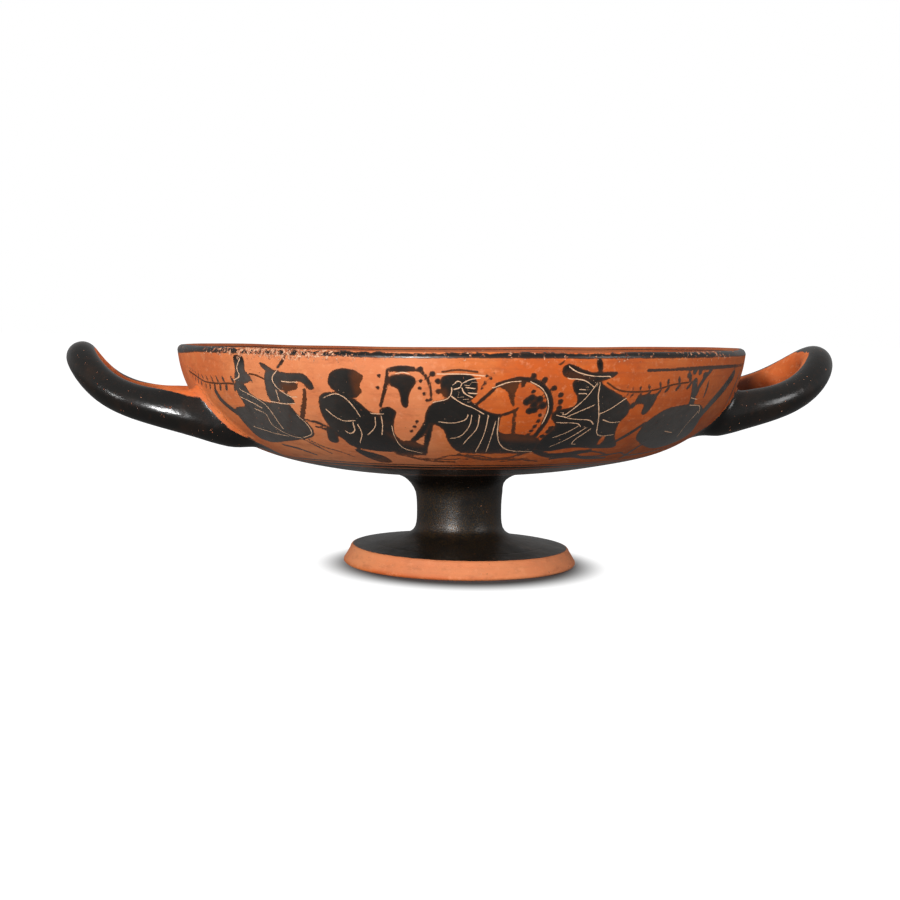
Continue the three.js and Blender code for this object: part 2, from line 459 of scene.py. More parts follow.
# Soft fillets: place += (mean of the neighbours - place) * weight, where the weight falls from 1 on the
# seam between handle and bowl to 0 at the fillet's reach.
def smoothRoots(mesh, place):
    r, z = np.hypot(place[:, 0], place[:, 1]), place[:, 2]
    edges = np.empty(len(mesh.edges) * 2, np.int32)
    mesh.edges.foreach_get("vertices", edges)
    edges = edges.reshape(-1, 2)
    low, high = fillet["heights"]
    away, _ = onBowl(r, z)
    onHandle = (away > fillet["aboveSurface"]) & (r > fillet["handleFrom"]) & (z > low)
    mixed = edges[onHandle[edges[:, 0]] != onHandle[edges[:, 1]]]
    seam = place[np.unique(mixed)]
    inReach = (away > -fillet["belowSurface"]) & (r > fillet["rootFrom"]) & (z > low) & (z < high)
    near = np.flatnonzero(inReach)
    gap = np.full(len(place), 99.0)
    for part in np.array_split(near, 40):
        gap[part] = np.sqrt(((place[part, None] - seam[None]) ** 2).sum(axis=2).min(axis=1))
    weight = 1 - smoothStep(0, fillet["reach"], gap)
    used = edges[(weight[edges] > 0).any(axis=1)]
    count = np.bincount(used.ravel(), minlength=len(place))[:, None]
    for _ in range(fillet["steps"]):
        total = np.zeros_like(place)
        np.add.at(total, used[:, 0], place[used[:, 1]])
        np.add.at(total, used[:, 1], place[used[:, 0]])
        mean = np.where(count > 0, total / np.maximum(count, 1), place)
        place += (mean - place) * weight[:, None] * fillet["share"]
    return place


body = smoothRoots(mesh, coordinates(mesh))
print("handle roots smoothed")


# Which part of the cup each point lies on, by its place and by how far it is outside the bowl's surface.
skin = {
    "floor": 36,  # height above which inside and handles are looked for
    "insideDepth": 1.0,
    "insideTo": 98.2,
    "handleGap": 0.3,
    "handleFrom": 55,
    "bowlFloor": 30.5,
    "crownFrom": 93,
}
around = np.hypot(body[:, 0], body[:, 1])
away, down = onBowl(around, body[:, 2])
turn = np.degrees(np.arctan2(body[:, 0], -body[:, 1]))  # degrees from the front, towards the right
isInside = (away < -skin["insideDepth"]) & (body[:, 2] > skin["floor"]) & (around < skin["insideTo"])
isHandle = (away > skin["handleGap"]) & (around > skin["handleFrom"]) & (body[:, 2] > skin["floor"])
isBowl = ~isInside & ~isHandle & (body[:, 2] > skin["bowlFloor"]) & (around > bowlStart - 0.5)


# The painted frieze, in degrees from the front and millimetres below the lip. fill is a smooth closed
# outline, brush a stroke of the width given, dots are spots of that width, leaves a number of slanting
# dabs of a width and a length along a stem, line is a thin black stroke, scratch a line cut through the
# black, gap a stroke of bare clay, and thin an outline where the black is thin and brown.
figures = {
    "leftBranch": {
        "line": [[(-73.5, 7), (-69.5, 8.5), (-65.5, 10), (-60, 10.3), (-55.5, 10), (-52, 10.4)]],
        "leaves": [(11, (1.4, 1.7), [(-73.5, 7), (-69.5, 8.7), (-65.5, 10), (-60, 10.2), (-54, 10)])],
        "brush": [(2.6, [(-62, 13.6), (-61.3, 16.5), (-58.5, 20.5), (-56.5, 23)])],
    },
    "leftFigure": {
        "fill": [
            [(-52.6, 1.2), (-51, 0.6), (-49.6, 1.8), (-49.8, 5.6), (-49, 8.2), (-50, 9.4), (-52, 9.8),
             (-53.6, 9), (-52.6, 5)],
            [(-53.6, 9.4), (-51, 10), (-50, 13), (-46.5, 15.6), (-41.5, 15.8), (-39.8, 19.6), (-38.2, 24),
             (-38.4, 27.6), (-40, 30), (-44, 31.8), (-49, 33.4), (-55, 35), (-58.6, 33), (-58.6, 27),
             (-58.4, 20.6), (-56.6, 18.4), (-53.6, 17.6), (-54, 13.4)],
        ],
        "brush": [(1.5, [(-49.6, 6.4), (-48.6, 8.8)])],
        "line": [[(-49, 6.4), (-47, 6.8), (-45, 8)]],
        "scratch": [
            [(-50.6, 1.6), (-52, 4.6), (-51.8, 7.4), (-54, 8.8)],
            [(-53, 11.6), (-48, 15.4), (-46.4, 19.4), (-46.2, 26.2)],
            [(-51, 18.4), (-48.4, 20.4), (-48.6, 25), (-46, 29.4), (-43, 30.8)],
            [(-56, 26.4), (-50.5, 29), (-46.4, 30.2)],
            [(-40, 20), (-38.8, 23.6), (-39.2, 28), (-42.4, 30.4)],
            [(-53.6, 14.4), (-50.4, 16.4), (-48.6, 18)],
        ],
    },
    "mount": {
        "fill": [
            [(-44.8, 6), (-42.4, 5.4), (-42.2, 9), (-42.6, 14.8), (-45.4, 14.6)],
            [(-43.6, 5.2), (-39.4, 5.6), (-36.2, 5.6), (-34.6, 8), (-34.2, 10.2), (-35.2, 10.8),
             (-36.6, 8.6), (-38, 8.2), (-37.6, 10), (-40.4, 11.6), (-43.4, 10)],
            [(-45.8, 2.6), (-44.6, 3), (-42.2, 5.4), (-43.4, 6.2), (-45.2, 4.2)],
            [(-43, 12), (-40.4, 12.4), (-39.4, 15.6), (-42.8, 15.8)],
        ],
        "brush": [
            (1.7, [(-36.4, 11), (-37, 14.6), (-38.8, 20), (-39.4, 21.6)]),
            (1.1, [(-39.2, -0.6), (-40.4, 2.4), (-41.6, 4.2)]),
        ],
        "thin": [
            [(-41.6, 8.6), (-37.4, 8.4), (-36.8, 11), (-41, 12.4)],
            [(-37.2, 10.6), (-35, 10.4), (-37.4, 20.8), (-39.8, 21)],
        ],
        "scratch": [
            [(-41.6, 4.8), (-43.2, 7.6), (-42.4, 10.6), (-40, 13.2), (-38.4, 13.2)],
            [(-41.2, 8.3), (-39.4, 8.5), (-37.4, 8.3)], [(-46, 15.2), (-42, 15.9), (-39.4, 15.6)],
            [(-42.9, 11), (-43, 14.8)],
        ],
    },
    "slope": {
        "brush": [
            (1.2, [(-38.6, 21.6), (-35.6, 23), (-33.6, 25.4)]), (1, [(-43, 31), (-41, 35), (-39, 40)]),
            (0.9, [(-41.6, 31), (-39, 35.5), (-35.6, 38.4), (-33.4, 42)]),
        ],
    },
    "youth": {
        "fill": [
            [(-31, 6.2), (-30, 4.4), (-28, 3.6), (-25.8, 4.2), (-24.4, 6.4), (-25.2, 8.6), (-25, 10.6),
             (-26, 12.6), (-28.6, 13.6), (-29.8, 11.4), (-31.2, 9)],
            [(-33.6, 13), (-31.6, 11.2), (-29, 12), (-26.4, 13.6), (-24.2, 17.4), (-22.6, 18.8),
             (-21.6, 24), (-20.8, 30), (-21, 36), (-24, 36.8), (-28, 36), (-31.4, 33.6), (-32.2, 30),
             (-33.6, 25), (-34.2, 18.6)],
            [(-22.4, 17.2), (-20.6, 15.6), (-19.2, 17.4), (-19.8, 20.4), (-20.4, 26), (-19.2, 30),
             (-16.6, 31.6), (-14.8, 34), (-17, 38.6), (-21.4, 38), (-22.6, 30), (-22.2, 22)],
            [(-34.6, 25.4), (-33, 25.6), (-33.8, 31.8), (-36, 31.6)],
            [(-31.4, 36), (-28.8, 36.8), (-25.4, 40), (-24.4, 45), (-27.4, 46), (-30, 42)],
        ],
        "thin": [[(-26.8, 4), (-23.6, 4.6), (-24.2, 12), (-26.4, 13)]],
        "scratch": [
            [(-32.8, 13.2), (-30.2, 11.7), (-28.4, 13), (-27, 16.4), (-26.3, 19.8)],
            [(-33, 17), (-31.6, 19.8), (-30, 21.4), (-27.6, 21.2)],
            [(-28.2, 21.8), (-28.6, 25.6), (-30, 27), (-30.6, 25.8)],
            [(-27.4, 22.4), (-27.3, 26.8), (-28.8, 31.6)], [(-23.4, 19.4), (-24, 23.6), (-26, 27.2)],
            [(-22.2, 19.2), (-22.4, 23), (-23.2, 27.4)], [(-24, 18.2), (-21.6, 18.3)],
            [(-20.6, 22.6), (-20.6, 28.4), (-19.6, 34), (-16, 37.2)],
        ],
        "brush": [(1.2, [(-37, 24.4), (-35, 25.6), (-32, 29.6), (-29.6, 37)])],
    },
    "staff": {
        "brush": [
            (1.2, [(-20, 3.6), (-20.6, 9), (-22, 15.6)]), (2.1, [(-19.4, 3.6), (-17.6, 3.4), (-15.6, 3.4)]),
            (1, [(-15.8, 3.2), (-14, 4.6), (-13, 7.6), (-12.6, 13)]),
        ],
        "fill": [
            [(-19.6, 5.6), (-16.4, 5.2), (-15.2, 7), (-16.4, 11), (-17, 15.6), (-18, 15), (-18.4, 10),
             (-19.8, 8.4)],
        ],
        "dots": [
            (1.35, [(-21.6, 5.6), (-22, 9.4), (-14.4, 7), (-14.6, 9.2), (-13.9, 11), (-13.4, 13.2),
             (-15.6, 21), (-16.2, 23), (-17, 25), (-14.1, 24), (-15.2, 26.6)]),
            (1.9, [(-12.4, 4.8), (-11.5, 7), (-11.4, 10.2), (-14.4, 3.4)]),
        ],
        "scratch": [[(-18.6, 4.9), (-17.4, 4.4), (-16.2, 4.9)]],
    },
    "reclining": {
        "fill": [
            [(-11, 6.4), (-9.6, 5), (-6.4, 4.8), (-4.9, 6.6), (-4.8, 10), (-5.4, 12.4), (-8, 12.8),
             (-10.6, 11.8)],
            [(-13.6, 16.4), (-12.2, 13.8), (-9.6, 12.4), (-6.8, 12), (-4.6, 15), (-2, 17.4), (-0.4, 18.4),
             (-0.2, 25), (3, 26), (7, 27.2), (8.4, 30), (7.6, 36.6), (2, 37), (-4, 37), (-8, 35.8),
             (-10, 30.4), (-10.8, 24.6), (-12.4, 22), (-14.2, 21.4)],
            [(-19.4, 31), (-17, 30), (-14.6, 33.6), (-15.4, 38.6), (-18.4, 37)],
        ],
        "thin": [
            [(-11.6, 9.6), (-10, 9), (-9.6, 12.6), (-11.4, 13)],
            [(-22.4, 25.6), (-19.4, 28), (-15, 31), (-15.6, 34), (-20, 32)],
            [(0.4, 24.8), (7.4, 27), (7.8, 30.6), (0.6, 29.4)],
        ],
        "brush": [
            (2.3, [(-13, 18), (-14.8, 25), (-17.8, 31)]), (1.9, [(-12.9, 21.4), (-13.9, 27), (-14.8, 33.6)]),
        ],
        "scratch": [
            [(-12.4, 13.8), (-10, 12.6), (-9.2, 10.6), (-9.2, 8.6)],
            [(-9.3, 11.6), (-7.4, 14), (-5.4, 15.6), (-3.4, 17.8)],
            [(-11.6, 20.9), (-9, 21.3), (-6.8, 20), (-6.2, 17.8)],
            [(-5.6, 18.2), (-6, 22.6), (-7.6, 27), (-9.8, 28.4)],
            [(-4.2, 18.2), (-4.6, 23.6), (-6.2, 28.4), (-7, 31)],
            [(-2.6, 18.4), (-3, 25), (-3.7, 31), (-4.4, 35.6)], [(-1.2, 20.6), (-1.6, 27), (-2.1, 35.4)],
            [(-0.7, 19), (-0.5, 26), (0.6, 31.6), (3, 35), (8, 35.9)],
            [(-8.9, 8.2), (-8.2, 6.9), (-7.5, 7.5), (-7.7, 8.8), (-8.8, 9.5)],
            [(-7.4, 7.6), (-6, 6.4), (-4.2, 5.9)], [(-7.5, 8.6), (-7, 10.6), (-5.6, 12)],
            [(-6.8, 8.8), (-5, 9.2)], [(-6.4, 10.6), (-4.9, 10.7)], [(-11.6, 4.8), (-7, 4.8), (-3.6, 5.3)],
        ],
        "line": [[(-10.8, 4.2), (-8, 3.6), (-4.6, 4.2)]],
    },
    "lyre": {
        "brush": [
            (1.15, [(-5.6, 15.6), (-3, 11.2), (-1.2, 8)]), (1.6, [(-1.4, 7.8), (1.2, 6.6), (4, 6.2)]),
            (1.1, [(-4.6, 15.8), (-2.6, 17.4), (-0.6, 18.2), (1.8, 16.8), (2.6, 15.6)]),
            (1.3, [(2.1, 16.6), (2.3, 22), (2.9, 27.6)]),
        ],
        "fill": [[(-1, 8.2), (0.8, 7.4), (2.4, 7.2), (1.8, 11), (1.8, 15.4), (1, 13), (0.4, 10.4)]],
        "thin": [
            [(-1.4, 8), (2.8, 6.4), (2.6, 15.6), (1, 15.6), (0, 11)],
            [(1.4, 16.4), (3, 16.4), (3.8, 27), (2, 27)],
        ],
        "scratch": [[(-2.2, 9), (0.4, 7.2), (2.6, 6.8)]],
        "dots": [(1.2, [(-4, 9), (-3.5, 7.4), (-2.6, 6), (-3.2, 5.2)])],
    },
    "wreath": {
        "brush": [(2.1, [(2.2, 6.2), (4.6, 6.6), (6.6, 8.6), (8, 12), (8.5, 16.6), (8, 22), (6.9, 27.8)])],
        "scratch": [[(4.2, 6.8), (6.4, 9), (7.7, 12.4), (8.2, 16.6), (7.7, 21.6)]],
        "dots": [
            (1.5, [(3, 8), (5, 10), (6.9, 18.2), (6.8, 20.6), (6.4, 22.6), (6, 24.6), (5.6, 26.4)]),
            (1.9, [(8.6, 9), (10, 11.2), (10.2, 13.4), (10.2, 15.6), (9.8, 23.4), (9.4, 25), (8.6, 27.2),
             (4.8, 5.2), (6.8, 6.4)]),
            (2.6, [(4, 13.4), (4.8, 12.2), (6.2, 12.6), (7, 14.8), (5.4, 14.4), (4.8, 16.6), (5.6, 16.2)]),
        ],
    },
    "hatted": {
        "fill": [
            [(9.8, 3), (10.8, 1.6), (12.4, 2.4), (15, 4), (17.2, 4.2), (20, 4), (20.4, 5), (18.6, 6.4),
             (16, 7.4), (13, 6.4), (10.2, 5.4)],
            [(12.2, 6.6), (16.4, 6.6), (19, 9), (22.4, 11.8), (24.6, 14.6), (25.2, 18.4), (24.2, 22.6),
             (25.6, 28.6), (28.4, 34.4), (24, 35), (17, 34), (11.6, 36), (8.2, 34.4), (8.6, 29),
             (10.4, 23), (9.2, 19.4), (9.8, 16.6), (13, 15), (13.2, 12), (12.2, 9.6)],
        ],
        "brush": [(2.2, [(16.5, 0.4), (16.9, 3.4)])],
        "thin": [[(10.4, 3.6), (13, 4.2), (16, 6.4), (13, 6.6), (10.4, 5.4)]],
        "gap": [(1.6, [(22.6, 28.4), (22.9, 32)])],
        "scratch": [
            [(11, 2.5), (12.6, 4.1), (15.6, 5.3), (19, 5.5)], [(11, 6), (14, 6.6), (16.2, 8.8)],
            [(16.6, 7.6), (14.8, 12.6), (11.8, 18.2)],
            [(17.2, 7.4), (17.4, 12), (18.8, 19), (20.2, 26), (22, 27.7), (24.6, 27.3)],
            [(17, 14.8), (14.6, 16.8), (12.2, 19)], [(9.9, 18.2), (13.5, 19.8), (17, 20.4), (18.4, 22.2)],
            [(10.6, 21.2), (14.6, 21.6), (15.8, 23)], [(15.2, 23), (13.4, 25.6), (11, 28)],
            [(17.2, 23.4), (14.2, 29), (11.4, 33)], [(18.4, 24), (16.4, 28.4), (16, 31.4), (17, 31.8)],
            [(23.4, 12.6), (20.6, 16.4), (18.6, 18.2)], [(20, 20.4), (22.2, 21.6), (24.4, 21.4)],
            [(13.2, 9.4), (14.6, 9.6)], [(13.2, 10.8), (14.8, 10.8)],
        ],
        "line": [[(9.2, 2), (10, 1)]],
    },
    "rightBranch": {
        "line": [[(18.6, 7.4), (21.6, 10), (26, 10.6), (30, 10), (34, 8.6), (38.4, 8)]],
        "leaves": [(8, (1.5, 1.5), [(23.6, 10.3), (26, 10.6), (30, 10), (34, 8.6), (39, 8)])],
        "fill": [
            [(25.8, 12.6), (27.4, 11.6), (30.4, 11.6), (30.6, 14.4), (29.8, 18.6), (28.4, 18.4),
             (28, 15.2), (26, 14.6)],
        ],
        "dots": [(2.2, [(23.4, 14.6), (25.4, 15.4), (38, 5.6), (39.6, 4.6), (41.4, 4.8), (43.2, 5.8)])],
    },
    "animal": {
        "fill": [
            [(33.4, 31.5), (31, 25), (32, 20.4), (35, 17), (39, 16), (43, 15.8), (48, 17.6), (52, 25),
             (54.5, 33), (45, 38)],
        ],
        "brush": [
            (3.1, [(40.4, 8), (41.6, 13), (43, 18.6)]),
            (1.9, [(45.2, 4.4), (43.6, 6.6), (42.4, 9.6), (42.4, 12.4)]), (1.2, [(45.4, 8), (45.8, 13.4)]),
            (4.3, [(57.6, 6.6), (54.2, 11), (51, 16), (49.6, 22.5), (53, 32)]),
            (1.9, [(31, 22.6), (28.4, 28), (25.4, 34.2)]), (1.4, [(37, 31.6), (36.4, 38), (37.4, 45)]),
        ],
        "scratch": [
            [(41.8, 16.2), (46, 16.8), (48, 20)], [(47, 19), (46.4, 25), (48.4, 31)],
            [(41, 13.4), (43.6, 14.2)], [(39.6, 27), (43.4, 28.2)],
        ],
    },
    "rightEdge": {
        "brush": [
            (1.9, [(64, 5), (63, 12), (66, 20)]), (1.25, [(27, 3.9), (40.5, 3.5), (52, 3.4), (66, 3.4)]),
        ],
        "leaves": [(4, (1.5, 2.2), [(66.5, 6), (68, 11), (71, 15)])],
    },
    "ground": {
        "brush": [
            (2.6, [(8.6, 35.4), (12, 38.4), (17, 38.2), (22, 36.6)]),
            (2, [(14, 41.6), (19, 40), (24, 42.2), (30, 43)]),
            (1.7, [(-8, 37.4), (-5, 39.8), (-1, 41.8), (3, 40.4), (6, 37.6)]),
            (1.5, [(-19.6, 39), (-15, 43), (-9, 43.8)]), (1.3, [(2, 43.4), (6, 41.8), (11, 43.6)]),
            (1.6, [(-52, 36), (-48, 38), (-45, 42)]),
            (1.5, [(9, 37), (13, 40), (18.5, 40.4), (26, 41), (33, 39)]),
            (1, [(16, 37.6), (20, 36.2), (26, 38), (30, 41)]),
            (1.1, [(-22, 38), (-18, 41), (-12, 41.6), (-6, 41)]),
            (1, [(-13, 41.4), (-9.6, 38.6), (-4, 38.6), (2, 41.4), (8, 41)]),
            (1.1, [(33, 39), (38, 42), (46, 41), (55, 38)]),
        ],
        "thin": [
            [(-9, 36.6), (7, 36.6), (12, 44.6), (-10, 44.6)], [(-22, 38), (-12, 38), (-8, 45), (-20, 45)],
        ],
    },
}
inkReach = 3.0  # distances from the edge of the black are kept up to this
brushes = {
    "thinning": 0.38,  # how much a stroke thins at its ends
    "broadThinning": 0.12,  # the same for a stroke at least as wide as broad
    "broad": 2.5,
    "fullFrom": (0.12, 0.88),  # share of a stroke's length between which it doesn't thin further
    "thinEdge": (-0.8, 2.2),  # soft edge of a thin place
    "steps": 8,  # of a smooth path between two points
    "reach": 3.5,
    "narrowest": 60.0,  # radius of the narrowest place that is painted
    "friezeTo": 70,
}
thread = {"channels": 3, "far": 2.5, "close": 1.9, "fade": (0.9, 1.5)}
backDropped = ("slope", "ground", "rightEdge")  # the back is a plainer repeat, as a mirror image


# Catmull-Rom curve: a smooth path through the points, open or closed.
def smoothPath(points, closed=False):
    points = np.array(points, float)
    if closed:
        padded = np.concatenate([points[-1:], points, points[:2]])
    else:
        padded = np.concatenate([2 * points[:1] - points[1:2], points, 2 * points[-1:] - points[-2:-1]])
    a, b, c, d = padded[:-3, None], padded[1:-2, None], padded[2:-1, None], padded[3:, None]
    t = (np.arange(brushes["steps"]) / brushes["steps"])[None, :, None]
    square, cube = 2 * a - 5 * b + 4 * c - d, 3 * b - a - 3 * c + d
    path = 0.5 * (2 * b + (c - a) * t + square * t**2 + cube * t**3)
    return np.concatenate([path.reshape(-1, 2), points[:1] if closed else points[-1:]])


# Paint is laid on the points of the bowl's outside. across is millimetres round the bowl for one radian.
class Painting:
    def __init__(self, angle, depth, radius):
        self.angle, self.depth, self.across = np.radians(angle), depth, radius
        self.ink = np.full(len(angle), -inkReach)
        self.thinned = np.zeros(len(angle))
        self.cut, self.drawn = Threads(len(angle)), Threads(len(angle))
        self.methods = {
            "fill": self.fill, "thin": self.thin, "brush": self.brush, "gap": self.gap,
            "dots": self.dots, "leaves": self.leaves, "line": self.line, "scratch": self.scratch,
        }

    # Smooth path with its angles in radians.
    def traced(self, points, closed=False):
        return smoothPath(points, closed) * [math.pi / 180, 1]

    # Points within reach of the box round a path.
    def nearby(self, path, reach):
        low, high = path.min(axis=0), path.max(axis=0)
        wide = reach / brushes["narrowest"]
        return np.flatnonzero(
            (self.angle > low[0] - wide)
            & (self.angle < high[0] + wide)
            & (self.depth > low[1] - reach)
            & (self.depth < high[1] + reach)
        )

    # Distance from each point to a path, which side it is on, and how far along the nearest place is.
    def measure(self, path, chosen):
        scale = np.stack([self.across[chosen], np.ones(len(chosen))], axis=1)[:, None]
        here = np.stack([self.angle[chosen], self.depth[chosen]], axis=1)[:, None] * scale
        start, end = path[None, :-1] * scale, path[None, 1:] * scale
        run = end - start
        share = np.clip(((here - start) * run).sum(2) / np.maximum((run * run).sum(2), 1e-9), 0, 1)
        gap = here - (start + run * share[..., None])
        distance = np.sqrt((gap * gap).sum(2))
        near = distance.argmin(axis=1)
        row = np.arange(len(chosen))
        side = np.sign(run[row, near, 0] * gap[row, near, 1] - run[row, near, 1] * gap[row, near, 0])
        return distance[row, near], np.where(side == 0, 1, side), (near + share[row, near]) / (len(path) - 1)

    # Distance from a closed outline, positive within it, by how often a level ray crosses it.
    def outline(self, points):
        path = self.traced(points, closed=True)
        chosen = self.nearby(path, brushes["reach"])
        if len(chosen) == 0:
            return chosen, np.zeros(0)
        distance, _, _ = self.measure(path, chosen)
        x, y = self.angle[chosen, None], self.depth[chosen, None]
        x0, y0, x1, y1 = path[:-1, 0], path[:-1, 1], path[1:, 0], path[1:, 1]
        meets = (x1 - x0) * (y - y0) / np.where(y1 == y0, 1e-9, y1 - y0) + x0
        inside = (((y0 > y) != (y1 > y)) & (x < meets)).sum(axis=1) % 2 == 1
        return chosen, np.where(inside, distance, -distance)

    # Points near a smooth path, with what measure says of them.
    def stroke(self, points, width):
        path = self.traced(points)
        chosen = self.nearby(path, brushes["reach"] + width)
        if len(chosen) == 0:
            return chosen, np.zeros(0), np.zeros(0), np.zeros(0)
        return (chosen, *self.measure(path, chosen))

    def fill(self, *points):
        chosen, inner = self.outline(points)
        self.ink[chosen] = np.maximum(self.ink[chosen], inner)

    def thin(self, *points):
        chosen, inner = self.outline(points)
        self.thinned[chosen] = np.maximum(self.thinned[chosen], smoothStep(*brushes["thinEdge"], inner))

    # Inside of a brush stroke: half its width, less towards both ends, minus the distance from its middle.
    def bristles(self, width, points):
        chosen, distance, _, share = self.stroke(points, width)
        thinning = brushes["thinning"] if width < brushes["broad"] else brushes["broadThinning"]
        taper = 1 - thinning * (1 - np.sin(math.pi * np.clip(share, *brushes["fullFrom"])))
        return chosen, width / 2 * taper - distance

    def brush(self, width, points):
        chosen, inner = self.bristles(width, points)
        self.ink[chosen] = np.maximum(self.ink[chosen], inner)

    def gap(self, width, points):
        chosen, inner = self.bristles(width, points)
        self.ink[chosen] = np.minimum(self.ink[chosen], -inner)

    def dots(self, width, points):
        for angle, depth in points:
            x = (self.angle - math.radians(angle)) * self.across
            inner = width / 2 - np.hypot(x, self.depth - depth)
            self.ink = np.maximum(self.ink, np.maximum(inner, -inkReach))

    def line(self, *points):
        self.drawn.add(*self.stroke(points, 1.0))

    def scratch(self, *points):
        self.cut.add(*self.stroke(points, 1.0))

    # Pairs of slanting dabs above and below a stem, growing from slight to full along it.
    def leaves(self, count, size, points):
        path = smoothPath(points)
        for k, step in enumerate(np.linspace(0, len(path) - 1, count)):
            angle, depth = path[int(step)]
            grown = 0.4 + 0.6 * k / max(count - 1, 1)
            for side in (-1, 1):
                reach = depth + side * (0.5 + size[1] * (0.8 + 0.2 * grown))
                start = (angle + side * 0.2, depth + side * 0.5)
                self.brush(size[0] * grown, [start, (angle - 0.5, reach)])


# Thin lines are kept as signed distances, several to a channel, so that they stay sharp between points. A
# new line goes into the channel that is least used near it, and where two meet the nearer one is kept.
class Threads:
    def __init__(self, count):
        self.distance = np.full((count, thread["channels"]), thread["far"])
        self.present = np.zeros((count, thread["channels"]))

    def add(self, chosen, distance, side, share):
        if len(chosen) == 0:
            return
        close = distance < thread["close"]
        k = int(np.argmin((self.present[chosen[close]] > 0).sum(axis=0)))
        used = close & (distance < np.abs(self.distance[chosen, k]))
        chosen, distance, side, share = chosen[used], distance[used], side[used], share[used]
        atEnd = (share <= 0) | (share >= 1)
        self.distance[chosen, k] = distance * side
        self.present[chosen, k] = np.where(atEnd, 0, 1 - smoothStep(*thread["fade"], distance))


# The front and the back of the bowl are painted one by one, the back folded onto the front's angles.
def paintFrieze():
    chosen = np.flatnonzero(isBowl & (down < brushes["friezeTo"]))
    front = np.abs(turn[chosen]) <= 90
    folded = np.where(front, turn[chosen], np.sign(turn[chosen]) * (180 - np.abs(turn[chosen])))
    for atFront in (True, False):
        part = chosen[front == atFront]
        painting = Painting(folded[front == atFront], down[part], around[part])
        for name, strokes in figures.items():
            for kind in strokes if atFront or name not in backDropped else ():
                for stroke in strokes[kind]:
                    painting.methods[kind](*stroke)
        ink[part], thinned[part] = painting.ink, painting.thinned
        for kept, threads in ((cut, painting.cut), (drawn, painting.drawn)):
            kept.distance[part], kept.present[part] = threads.distance, threads.present


ink = np.full(len(body), inkReach)
thinned, stainAndShade = np.zeros(len(body)), np.zeros(len(body))
cut, drawn = Threads(len(body)), Threads(len(body))
paintFrieze()
print("frieze painted")


# Lip, inside and rings. Depths are in millimetres below the lip, radii from the axis.
bands = {
    "lipDepth": 0.2,  # outer band of black below the lip
    "lipAtLeft": (1.3, 4, (-85, -30)),  # the band at the far left, how much less it is, and between where
    "lipOver": 3.5,  # how far the black reaches over the lip, from its outer side
    "bareCrown": (2.05, 2.9),  # worn line on the lip's crown, measured the same way
    "bareFrom": (-58, 24),  # degrees from the front between which that line shows
    "bareSoft": 8,
    "insideLine": 1.7,  # depth of the reddish line inside the lip
    "insideStain": (1, 2.6, 0.55),  # how far below that line, from where on the crown, and how strong
    "disc": 17.0,  # bare disc in the bowl's middle, and a bare ring round it
    "discLine": (19.0, 20.2),
    "discBelow": 60,
    "footBlackTo": 38.3,  # radius where the black of the foot's top ends
    "footSkin": (9.3, 15),  # the foot is painted below this height and beyond this radius
    "underFoot": (0.6, 39),  # bare clay from this far above the hollow's ceiling, out to this radius
    "inStem": (4.6, 1),  # bare clay this far below the bowl's base, and this far within the stem
    "rings": ((47.2, 48.4), (49.6, 52.6), (53.6, 70.0), (74.5, 99.0)),  # black bands under the frieze
}


# Round the lip: millimetres from its outer side over the crown to its inner side.
isCrown = (around > skin["crownFrom"]) & (body[:, 2] > lipHeight - 0.01)
overLip = np.arctan2(body[:, 2] - lipHeight, around - cup["rimRadius"] + cup["wall"] / 2) * cup["wall"] / 2


# A distance from the black's edge, kept within reach.
def bounded(inner):
    return np.clip(inner, -inkReach, inkReach)


# Black of the lip, the inside and the foot, each as the distance within the edges of its bands.
def paintTurned():
    deep, less, span = bands["lipAtLeft"]
    ink[isBowl] = np.maximum(ink, bounded(deep - less * smoothStep(*span, turn) - down))[isBowl]
    ink[isCrown & ~isBowl] = -inkReach
    below, fromOver, strength = bands["insideStain"]
    lineAt = lipHeight - bands["insideLine"]
    stainAndShade[isInside & (body[:, 2] > lineAt - below) | isCrown & (overLip > fromOver)] = strength
    r, z = around[isInside], body[isInside, 2]
    low, high = bands["discLine"]
    inner = np.where(z < bands["discBelow"], np.maximum(low - r, r - high), lineAt - z)
    ink[isInside] = bounded(np.where(r < bands["disc"], r - bands["disc"], inner))
    below, beyond = bands["footSkin"]
    foot = (body[:, 2] < below) & (around > beyond)
    ink[foot] = bounded(bands["footBlackTo"] - around[foot])
    above, out = bands["underFoot"]
    underFoot = (body[:, 2] < footTop - cup["footThickness"] + above) & (around < out)
    below, inwards = bands["inStem"]
    inStem = (body[:, 2] < cup["bowlBase"] - below) & (around < cup["stemRadius"] - inwards)
    ink[underFoot | inStem] = -inkReach


paintTurned()


